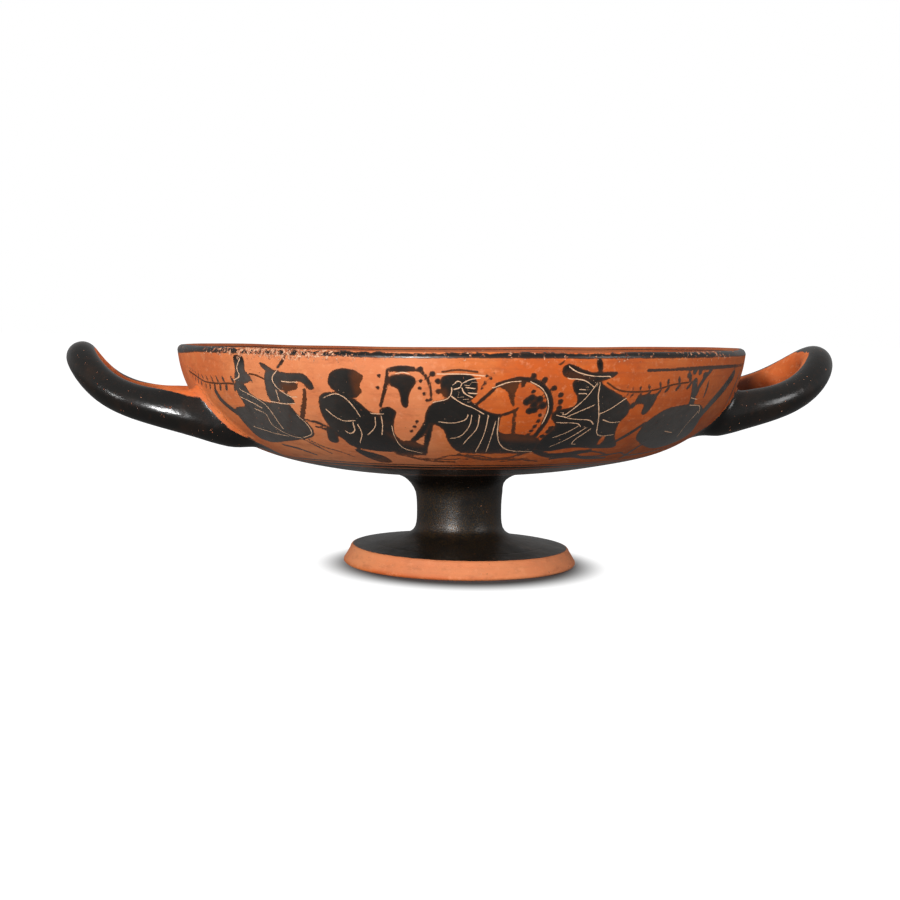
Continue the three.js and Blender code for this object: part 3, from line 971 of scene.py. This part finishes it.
# Skin of a handle: black, with bare clay where facing * cos(lean) + up * sin(lean) passes clayFrom.
def paintHandle(handle):
    line, _, _, fromBowl = handleLine(handle)
    chosen = np.flatnonzero(isHandle & (np.sign(body[:, 0]) == handle["side"]))
    near = ((body[chosen, None] - line[None]) ** 2).sum(axis=2).argmin(axis=1)
    normal = unit(body[chosen] - line[near])
    middle = line[len(line) // 2].copy()
    middle[0] -= handle["side"] * handle["bow"]
    facing = (normal * unit((middle - line[near]) * [1, 1, 0])).sum(axis=1)
    atRoot = 1 - smoothStep(*handleShape["leanOver"], fromBowl[near])
    lean = handle["leanAtTip"] + (handle["leanAtRoot"] - handle["leanAtTip"]) * atRoot
    bare = facing * np.cos(lean) + normal[:, 2] * np.sin(lean) - handle["clayFrom"]
    root = away[chosen] - np.where(normal[:, 2] < handleShape["underSide"], skin["handleGap"], handle["clayAtWall"])
    ink[chosen] = bounded(np.minimum(-bare * handle["radius"], root))
    # Painted shade on the handle: darker where the skin faces into the loop, less on its top and farther from the
    # bowl.
    inner = np.maximum(facing, -np.sign(line[near, 1]) * normal[:, 1])
    stainAndShade[chosen] = handle["shade"] * smoothStep(*handleShape["shadeFacing"], inner)
    for key, value in (("shadeTop", normal[:, 2]), ("shadeTo", fromBowl[near])):
        stainAndShade[chosen] *= 1 - handleShape["shadeLoss"] * smoothStep(*handle[key], value)


tail = {"tipAt": 64.0, "wide": 6.6, "over": 13.0}


# Under each arm the black runs on along the bowl to a pointed tail, its half width wide * sqrt(share).
def paintTail(handle):
    turned = math.radians(handle["turn"])
    x = handle["side"] * (body[:, 0] * math.cos(turned) + body[:, 1] * math.sin(turned))
    y = np.abs(body[:, 1] * math.cos(turned) - body[:, 0] * math.sin(turned))
    share = np.clip((x - tail["tipAt"]) / tail["over"], 0, 1)
    inner = tail["wide"] * np.sqrt(share) - np.abs(y - handle["halfWidth"])
    chosen = isBowl & (x > tail["tipAt"] - 3) & (body[:, 2] < cup["height"] - handle["rootDrop"] - 1)
    ink[chosen] = np.maximum(ink[chosen], bounded(inner)[chosen])


for handle in handles.values():
    paintHandle(handle)
    paintTail(handle)
print("handles painted")


# Hand-made unevenness. Spans are heights or radii over which a change comes and goes.
uneven = {
    "rimRise": 0.55, "rimLean": 0.12, "wave": 0.16, "waves": (3, 5, 9, 14), "surface": 0.05,
    "lean": 0.0105, "raised": 0.7, "footTilt": 0.008,
    "under": (22, 31, 36, 46), "underTo": (50, 80), "underRise": 0.85, "underSlope": 0.008,
    "stem": (4, 12, 24, 32), "stemTo": 30, "stemWider": 0.022, "stemShift": 0.4,
    "flare": (24, 29.5, 33, 36), "flareTo": (30, 60), "flareShift": 1.1,
    "foot": (3, 6, 9, 16), "footMiddle": 10, "rim": (66, 76.4), "rimTo": 100.5,
}


# The underside is a little fuller towards the left, the stem stands a little to the left, the rim rises
# towards the handles and waves by sines of the angle, and the whole cup leans a little on its foot.
def handMade(place):
    angle = np.arctan2(place[:, 1], place[:, 0])
    height = smoothStep(40, cup["height"], place[:, 2])
    reach = np.hypot(place[:, 0], place[:, 1])
    under = within(place[:, 2], *uneven["under"]) * (1 - smoothStep(*uneven["underTo"], reach))
    place[:, 2] += under * (uneven["underRise"] + uneven["underSlope"] * place[:, 0])
    stem = within(place[:, 2], *uneven["stem"]) * (reach < uneven["stemTo"])
    place[:, 0] = place[:, 0] * (1 + uneven["stemWider"] * stem) - uneven["stemShift"] * stem
    flare = within(place[:, 2], *uneven["flare"]) * (1 - smoothStep(*uneven["flareTo"], reach))
    place[:, 0] -= uneven["flareShift"] * flare
    tilt = within(place[:, 2], *uneven["foot"]) * uneven["footTilt"]
    place[:, 2] -= tilt * (place[:, 0] + uneven["footMiddle"])
    radius = np.hypot(place[:, 0], place[:, 1])
    rim = smoothStep(*uneven["rim"], place[:, 2]) * (radius < uneven["rimTo"])
    rise = uneven["rimRise"] * np.cos(2 * angle) - uneven["rimLean"] * np.cos(angle)
    for k, waves in enumerate(uneven["waves"]):
        rise += rim * uneven["wave"] / (k + 1) * np.sin(waves * angle + 1.7 * k)
    place[:, 2] += rise * height
    swell = np.sin(5 * angle + 0.09 * place[:, 2]) + np.sin(11 * angle - 0.21 * place[:, 2])
    place[:, :2] *= (1 + uneven["surface"] * swell / np.maximum(radius, 30))[:, None]
    lean = uneven["lean"] * smoothStep(5, 14, place[:, 2])
    x, z = place[:, 0].copy(), place[:, 2].copy()
    place[:, 0] = x - lean * (z - 7)
    place[:, 2] = z + lean * x + uneven["raised"] * smoothStep(1, 7, z)
    return place


# Wear of the paint from 0 to 1, with the degrees from the front over which each worn stretch comes and goes.
rimWear = {
    "crust": (-69, -47, -34, -22),
    "chipped": (31, 37, 47, 53),
    "chippedShare": 0.45,
    "edge": (0.4, 3.4),
    "above": 66,
    "lipWear": 0.5,
    "handleWear": 0.25,
}


# Strongest on the rim at the left of the front: edge * (lipWear + (1 - lipWear) * crust).
def wearOfPaint():
    chipped = within(turn, *rimWear["chipped"]) * rimWear["chippedShare"]
    crust = np.maximum(within(turn, *rimWear["crust"]), chipped)
    fromEdge = np.where(isBowl, down, np.maximum(0, (98 - around) * 2))
    edge = (1 - smoothStep(*rimWear["edge"], fromEdge)) * (body[:, 2] > rimWear["above"])
    share = rimWear["lipWear"] + (1 - rimWear["lipWear"]) * crust
    return np.where(isHandle, rimWear["handleWear"], edge * share)


# Tone of the bare clay: above 0 it is paler and pinker, below 0 browner.
clayTone = {
    # amounts, each with the degrees from the front over which it comes and goes
    "around": (
        (0.35, (-100, -82, -16, -6)), (0.4, (-60, -46, -16, -6)), (0.6, (96, 118, 140, 158)),
        (-0.42, (12, 40, 84, 100)), (-0.3, (-170, -140, -110, -90)),
    ),
    "low": (0.45, (36, 46), (10, 40)),  # amount, the depths over which it comes, and the degrees
    "footEdge": (6.5, 36, 0.9),  # below this height and beyond this radius
    "footLow": (0.8, (0.6, 2.2), (-30, 30)),  # loss at the foot's lowest edge, its heights, and where it ends
    "elsewhere": 0.15,
}


# Sum of the amounts around the bowl and low on it, and apart from it the foot's edge.
def toneOfClay():
    pink = sum(amount * within(turn, *span) for amount, span in clayTone["around"])
    amount, depths, sides = clayTone["low"]
    pink = pink + smoothStep(*depths, down) * amount * smoothStep(*sides, np.abs(turn))
    below, beyond, footTone = clayTone["footEdge"]
    loss, heights, ends = clayTone["footLow"]
    onFoot = (body[:, 2] < below) & (around > beyond)
    low = (1 - smoothStep(*heights, body[:, 2])) * (1 - smoothStep(*ends, body[:, 0]))
    return np.where(onFoot, footTone - loss * low, np.where(isBowl, pink, clayTone["elsewhere"]))


fading = {"least": 0.12, "more": 0.68, "from": (18, 44), "middle": -6, "depths": (1, 5)}


# How grey the black on the bowl has gone: least + more * step of the degrees from each side's middle.
def fadingOfBlack():
    grey = fading["least"] + smoothStep(*fading["from"], np.abs(turn - fading["middle"])) * fading["more"]
    return np.where(isBowl, grey * smoothStep(*fading["depths"], down), 0)


low, high = bands["bareFrom"]
soft = bands["bareSoft"]
surface = {
    "ink": ink,
    "down": np.where(isCrown, -overLip, np.where(isBowl, down, -20)),
    "stainAndShade": stainAndShade,
    "faded": fadingOfBlack(),
    "thinned": thinned,
    "wear": wearOfPaint(),
    "tone": toneOfClay(),
    "worn": within(turn, low - soft, low + soft, high - soft, high + soft),
    "cut": cut.distance,
    "cutOn": cut.present,
    "drawn": drawn.distance,
    "drawnOn": drawn.present,
    "part": np.stack([isBowl, isHandle, isInside], axis=1),
}
for name, values in surface.items():
    kind, key = ("FLOAT", "value") if values.ndim == 1 else ("FLOAT_VECTOR", "vector")
    layer = mesh.attributes.new(name, kind, "POINT")
    layer.data.foreach_set(key, np.ascontiguousarray(values, dtype=np.float32).ravel())
body = handMade(body)
mesh.vertices.foreach_set("co", (body * mm).astype(np.float32).ravel())
mesh.update()
mesh.polygons.foreach_set("use_smooth", np.ones(len(mesh.polygons), bool))
kylix = bpy.data.objects.new("kylixCup", mesh)
bpy.context.scene.collection.objects.link(kylix)
print("surface stored")


# A number socket that Python's own signs work on, each adding a Math node.
class Wire:
    def __init__(self, tree, socket):
        self.tree, self.socket = tree, socket

    def maths(self, operation, *others, clamp=False):
        node = self.tree.add("Math", {"operation": operation, "use_clamp": clamp}, {})
        for k, value in enumerate((self, *others)):
            self.tree.plug(node.inputs[k], value)
        return Wire(self.tree, node.outputs[0])

    def __add__(self, other):
        return self.maths("ADD", other)

    __radd__ = __add__

    def __sub__(self, other):
        return self.maths("SUBTRACT", other)

    def __rsub__(self, other):
        return (self * -1).maths("ADD", other)

    def __mul__(self, other):
        return self.maths("MULTIPLY", other)

    __rmul__ = __mul__

    def __truediv__(self, other):
        return self.maths("DIVIDE", other)

    def size(self):
        return self.maths("ABSOLUTE")

    def atLeast(self, other):
        return self.maths("MAXIMUM", other)

    def atMost(self, other):
        return self.maths("MINIMUM", other)

    # (self - edge) * gain, kept between 0 and 1.
    def past(self, edge, gain):
        return (self - edge).maths("MULTIPLY", gain, clamp=True)

    # 0 below the edge and 1 above it, over a band of the softness given.
    def step(self, edge, softness):
        return ((self - edge) / softness).maths("ADD", 0.5, clamp=True)


# A node tree: plug links or sets an input, and add makes a node of a type with settings and inputs.
class Tree:
    def __init__(self, tree):
        self.tree = tree
        tree.nodes.clear()

    def plug(self, socket, value):
        if isinstance(value, Wire):
            self.tree.links.new(value.socket, socket)
        elif isinstance(value, bpy.types.NodeSocket):
            self.tree.links.new(value, socket)
        else:
            socket.default_value = value

    def add(self, kind, settings, inputs):
        node = self.tree.nodes.new("ShaderNode" + kind)
        for name, value in settings.items():
            setattr(node, name, value)
        for name, value in inputs.items():
            self.plug(node.inputs[name], value)
        return node

    def attribute(self, name):
        return Wire(self, self.add("Attribute", {"attribute_name": name}, {}).outputs["Fac"])

    def channels(self, name):
        vector = self.add("Attribute", {"attribute_name": name}, {}).outputs["Vector"]
        parts = self.add("SeparateXYZ", {}, {"Vector": vector})
        return [Wire(self, parts.outputs[k]) for k in range(3)]

    # Noise between about 0 and 1, its grain given in millimetres.
    def noise(self, grain, detail, roughness, shift=0.0, stretch=(1, 1, 1)):
        inputs = {
            "Vector": self.add("TexCoord", {}, {}).outputs["Object"],
            "Scale": tuple(1 / (grain * mm * s) for s in stretch),
            "Location": (shift, shift * 0.7, -shift),
        }
        moved = self.add("Mapping", {}, inputs).outputs["Vector"]
        inputs = {"Vector": moved, "Scale": 1.0, "Detail": detail, "Roughness": roughness}
        return Wire(self, self.add("TexNoise", {}, inputs).outputs["Fac"])

    def mix(self, share, low, high):
        node = self.add("Mix", {"data_type": "RGBA"}, {})
        self.plug(node.inputs[0], share)
        self.plug(node.inputs[6], low if isinstance(low, bpy.types.NodeSocket) else (*low, 1))
        self.plug(node.inputs[7], high if isinstance(high, bpy.types.NodeSocket) else (*high, 1))
        return node.outputs[2]


# Screen colour from 0 to 255 to linear light: v / 12.92 when dark, else ((v + 0.055) / 1.055)^2.4.
def linear(*colour):
    return tuple(v / 255 / 12.92 if v <= 10 else ((v / 255 + 0.055) / 1.055) ** 2.4 for v in colour)


finish = {
    "clay": linear(208, 91, 17),
    "clayPale": linear(226, 128, 62),
    "clayShaded": linear(66, 26, 8),
    "clayBrown": linear(158, 76, 38),
    "clayPink": linear(240, 158, 110),
    "black": linear(19, 17, 15),
    "blackWarm": linear(44, 29, 19),
    "slate": linear(86, 80, 76),
    "gold": linear(150, 112, 62),
    "thinBlack": linear(96, 52, 26),
    "scratch": linear(250, 200, 160),
    "crust": linear(240, 196, 160),
    "scratchWidth": 0.27,
    "lineWidth": 0.62,
    "grooveRadius": 31,
    "grooveWidth": 0.9,
    "inkRoughness": 0.2,
    "clayRoughness": 0.7,
}


# One finish for the whole cup: clay, black slip over it where the surface's values say so, and wear.
def paintedClay():
    material = bpy.data.materials.new("paintedClay")
    material.use_nodes = True
    tree = Tree(material.node_tree)
    names = ("ink", "down", "thinned", "stainAndShade", "wear", "tone", "worn", "faded")
    ink, down, thinned, stainAndShade, wear, tone, worn, faded = (tree.attribute(name) for name in names)
    onBowlSkin, onHandleSkin, onInside = tree.channels("part")
    ragged = tree.noise(1.3, 3, 0.6) - 0.5
    wobble = tree.noise(7.0, 2, 0.5, 3) - 0.5

    # Black over the lip, with a line worn bare on its crown.
    lip = (bands["lipDepth"] - down).atMost(bands["lipOver"] + down) + wobble * 0.5
    low, high = bands["bareCrown"]
    broken = tree.noise(3.5, 4, 0.65, 41) - 0.5
    bare = (0 - down - low).atMost(down + high) + wobble * 0.5 + broken * 4
    lip = lip.atMost((1 - worn) * 2 - bare)
    black = ink.atLeast(lip)

    # Rings of black under the frieze, by the distance down from the lip.
    for low, high in bands["rings"]:
        ring = (down - low + wobble * 0.8).atMost(high - down - wobble * 0.8)
        black = black.atLeast(ring)
    laid = black
    black = (black + ragged * (0.6 + thinned * 1.3)).step(0.0, 0.24)
    for distance, present in zip(tree.channels("drawn"), tree.channels("drawnOn")):
        line = (finish["lineWidth"] / 2 - distance.size() + ragged * 0.2).step(0.0, 0.16)
        black = black.atLeast(line * present.step(0.45, 0.2))
    scratch = None
    for distance, present in zip(tree.channels("cut"), tree.channels("cutOn")):
        line = (finish["scratchWidth"] / 2 - distance.size() + wobble * 0.16 + ragged * 0.3).step(0.0, 0.14)
        line = line * present.step(0.45, 0.3)
        scratch = line if scratch is None else scratch.atLeast(line)

    # Wear: chips at the rim and specks in the black.
    chips = (tree.noise(1.6, 4, 0.66, 7) + wear * 0.3).step(0.78, 0.05)
    specks = (tree.noise(0.9, 1, 0.4, 11) + wear * 0.05).step(0.79, 0.02)
    gone = chips.atLeast(specks * 0.8)
    black = black * (1 - gone * 0.92)

    # Clay: orange, with browner and paler places and fine turning streaks. Each row mixes a colour in by
    # how far a pattern is past an edge, times a gain.
    slow = tree.noise(26, 4, 0.55, 1)
    fine = tree.noise(2.2, 4, 0.65, 5)
    streaks = tree.noise(1.0, 3, 0.6, 2, (30, 30, 1.5))
    mottle = tree.noise(7, 5, 0.65, 23)
    grime = tree.noise(2.6, 5, 0.7, 31, (3, 3, 1))
    clay = finish["clay"]
    for pattern, edge, gain, name in (
        (slow, 0.42, 2.6, "clayPale"),
        (streaks, 0.5, 1.7, "clayBrown"),
        (slow, 0.42, -3.5, "clayBrown"),
        (mottle, 0.52, 2.2, "clayPale"),
        (mottle, 0.46, -3, "clayBrown"),
        (fine, 0.55, 2.8, "clayPink"),
        (tone * (0.55 + slow * 0.5), 0, 0.8, "clayPink"),
        (tone, 0, -0.9, "clayBrown"),
        (grime, 0.52, 2.2, "clayBrown"),
    ):
        clay = tree.mix(pattern.past(edge, gain), clay, finish[name])
    # Painted shade on the handles' inner sides, and a real brown stain inside the lip, both mixed towards the
    # darkest clay.
    clay = tree.mix(stainAndShade, clay, finish["clayShaded"])
    grit = tree.noise(0.9, 1, 0.4, 21).step(0.8, 0.02)
    clay = tree.mix(grit * 0.6, clay, finish["thinBlack"])
    crumbs = tree.noise(0.8, 3, 0.6, 13).past(0.43, 5)
    crust = tree.mix(crumbs, finish["clayBrown"], finish["crust"])
    clay = tree.mix(gone * 0.85, clay, crust)

    # Black: dense, browner where it was laid on thin.
    patch = tree.noise(11, 4, 0.6, 9)
    slip = tree.mix(patch.past(0.52, 3.2), finish["black"], finish["blackWarm"])
    greyed = (faded * (0.1 + tree.noise(5, 5, 0.7, 15) * 1.7)).past(0, 1)
    slip = tree.mix(greyed, slip, finish["slate"])
    scuffed = tree.noise(1.8, 4, 0.7, 29).past(0.55, 6)
    slip = tree.mix(scuffed * (faded * 0.45 + 0.12), slip, finish["thinBlack"])
    stem = (1 - onBowlSkin - onHandleSkin - onInside).atLeast(0)
    gold = tree.noise(0.45, 3, 0.6, 17).past(0.5, 4) * tree.noise(9, 3, 0.6, 37).past(0.3, 4)
    slip = tree.mix(gold * stem * 0.45, slip, finish["gold"])
    # A thin brown edge, where the brush left less.
    edge = (laid / 0.7).past(1, -0.55)
    slip = tree.mix(edge * onBowlSkin, slip, finish["thinBlack"])
    thin = (thinned * (0.35 + tree.noise(2.6, 3, 0.6, 4) * 1.1)).past(0, 0.95)
    slip = tree.mix(thin, slip, finish["thinBlack"])
    colour = tree.mix(black, clay, slip)
    colour = tree.mix(scratch * 0.92, colour, finish["scratch"])

    cutHere = scratch.atLeast(gone * 0.6)
    # A fine turned groove on the foot's top.
    place = tree.add("TexCoord", {}, {}).outputs["Object"]
    x, y, _ = (Wire(tree, socket) for socket in tree.add("SeparateXYZ", {}, {"Vector": place}).outputs)
    fromGroove = ((x * x + y * y).maths("SQRT") / mm - finish["grooveRadius"]).size()
    groove = (finish["grooveWidth"] / 2 - fromGroove).step(0.0, 0.5) * stem
    inkRough = finish["inkRoughness"] + tree.noise(5, 4, 0.6, 6) * (0.2 - onHandleSkin * 0.12)
    inkRough = inkRough + stem * 0.08 - onHandleSkin * 0.03
    rough = finish["clayRoughness"] + (inkRough - finish["clayRoughness"]) * black * (1 - cutHere * 0.9)
    relief = (
        black * 0.03
        - scratch * 0.09
        - gone * 0.1
        + fine * 0.05
        + tree.noise(0.35, 2, 0.5, 8) * (0.02 + stem * 0.06)
        + tree.noise(4, 3, 0.5, 19) * 0.13
        + streaks * 0.06
        - groove * 0.06
    )
    bump = tree.add("Bump", {}, {"Strength": 0.8, "Distance": mm, "Height": relief.socket})
    shader = tree.add(
        "BsdfPrincipled",
        {},
        {
            "Base Color": colour,
            "Roughness": rough,
            "Metallic": gold * stem * black,
            "Normal": bump.outputs["Normal"],
            "Specular IOR Level": 0.5,
        },
    )
    output = tree.add("OutputMaterial", {}, {"Surface": shader.outputs["BSDF"]})
    output.is_active_output = True
    return material


mesh.materials.clear()
mesh.materials.append(paintedClay())
mesh.polygons.foreach_set("material_index", np.zeros(len(mesh.polygons), np.int32))
print("clay and black slip made")

studio = {
    "floor": (0.13, 0.13, 0.13),
    "floorSize": 60.0,  # metres
    # floorGlow, glowFrom, shadowScale and shadowShift paint a shadow round the foot: the glow is glowNear there and
    # full beyond glowFrom.
    "floorGlow": (0.0, 1.03),
    "glowFrom": (0.0405, 0.0595),  # metres from the foot's middle
    "shadowScale": (1.1, 1, 1),
    "shadowShift": (0, 0.004, 0),
    "sky": 0.34,
    "below": 0.15,
    "aim": (0, 0, 0.05),
    "unseen": ("over", "back"),  # panels that the gloss doesn't show
    # place in metres, the sides of the panel and its power in watts
    "lights": {
        "keyLeft": ((-0.62, -1.3, 0.36), (0.11, 0.11), 17.0),
        "sideLeft": ((-1.0, -0.62, 0.3), (0.1, 0.1), 0.9),
        "fillRight": ((0.95, -0.8, 0.5), (0.4, 0.4), 3.2),
        "over": ((-0.1, -0.5, 1.3), (0.7, 0.5), 5.0),
        "back": ((0.2, 0.9, 0.9), (0.7, 0.4), 5.0),
    },
}


# White paper that glows evenly but for a painted shadow round the foot, where the glow fades out, with a white sky
# behind and five lamps.
def makeStudio():
    half = studio["floorSize"] / 2
    corners = [(x * half, y * half, 0) for x, y in ((-1, -1), (1, -1), (1, 1), (-1, 1))]
    data = bpy.data.meshes.new("studioFloor")
    data.from_pydata(corners, [], [(0, 1, 2, 3)])
    floor = bpy.data.objects.new("studioFloor", data)
    bpy.context.scene.collection.objects.link(floor)
    floor.visible_glossy = floor.visible_diffuse = False
    material = bpy.data.materials.new("floorPaper")
    material.use_nodes = True
    tree = Tree(material.node_tree)
    place = tree.add("TexCoord", {}, {}).outputs["Object"]
    inputs = {"Vector": place, "Scale": studio["shadowScale"], "Location": studio["shadowShift"]}
    place = tree.add("Mapping", {}, inputs).outputs["Vector"]
    length = tree.add("VectorMath", {"operation": "LENGTH"}, {"Vector": place}).outputs["Value"]
    distance = Wire(tree, length)
    # Painted shadow: the floor's glow fades to glowNear round the foot.
    (near, far), (glowNear, glowFar) = studio["glowFrom"], studio["floorGlow"]
    share = distance.step((near + far) / 2, far - near)
    glow = tree.mix(share * share * (3 - share * 2), (glowNear,) * 3, (1, 1, 1))
    paper = tree.add(
        "BsdfPrincipled",
        {},
        {
            "Base Color": (*studio["floor"], 1),
            "Roughness": 0.95,
            "Specular IOR Level": 0.0,
            "Emission Color": glow,
            "Emission Strength": glowFar,
        },
    )
    tree.add("OutputMaterial", {}, {"Surface": paper.outputs["BSDF"]})
    data.materials.append(material)
    world = bpy.data.worlds.new("studioWorld")
    world.use_nodes = True
    tree = Tree(world.node_tree)
    seen = Wire(tree, tree.add("LightPath", {}, {}).outputs["Is Camera Ray"])
    direction = tree.add("TexCoord", {}, {}).outputs["Generated"]
    height = Wire(tree, tree.add("SeparateXYZ", {}, {"Vector": direction}).outputs["Z"])
    lit = studio["below"] + height.step(0.0, 0.3) * (studio["sky"] - studio["below"])
    strength = lit + seen * (1 - lit)
    sky = tree.add("Background", {}, {"Color": (1, 1, 1, 1), "Strength": strength})
    tree.add("OutputWorld", {}, {"Surface": sky.outputs[0]})
    bpy.context.scene.world = world
    for name, (place, sides, power) in studio["lights"].items():
        lamp = bpy.data.lights.new(name, "AREA")
        lamp.shape, lamp.size, lamp.size_y, lamp.energy = "RECTANGLE", sides[0], sides[1], power
        panel = bpy.data.objects.new(name, lamp)
        away = unit(np.array(place) - studio["aim"])
        right = unit(np.cross([0, 0, 1], away))
        panel.matrix_world = matrixOf(right, np.cross(away, right), away, place)
        panel.visible_glossy = name not in studio["unseen"]
        bpy.context.scene.collection.objects.link(panel)
    bpy.context.scene.view_settings.view_transform = "Standard"


makeStudio()
print("studio lit")

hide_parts("kylix")
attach(kylix, "root")
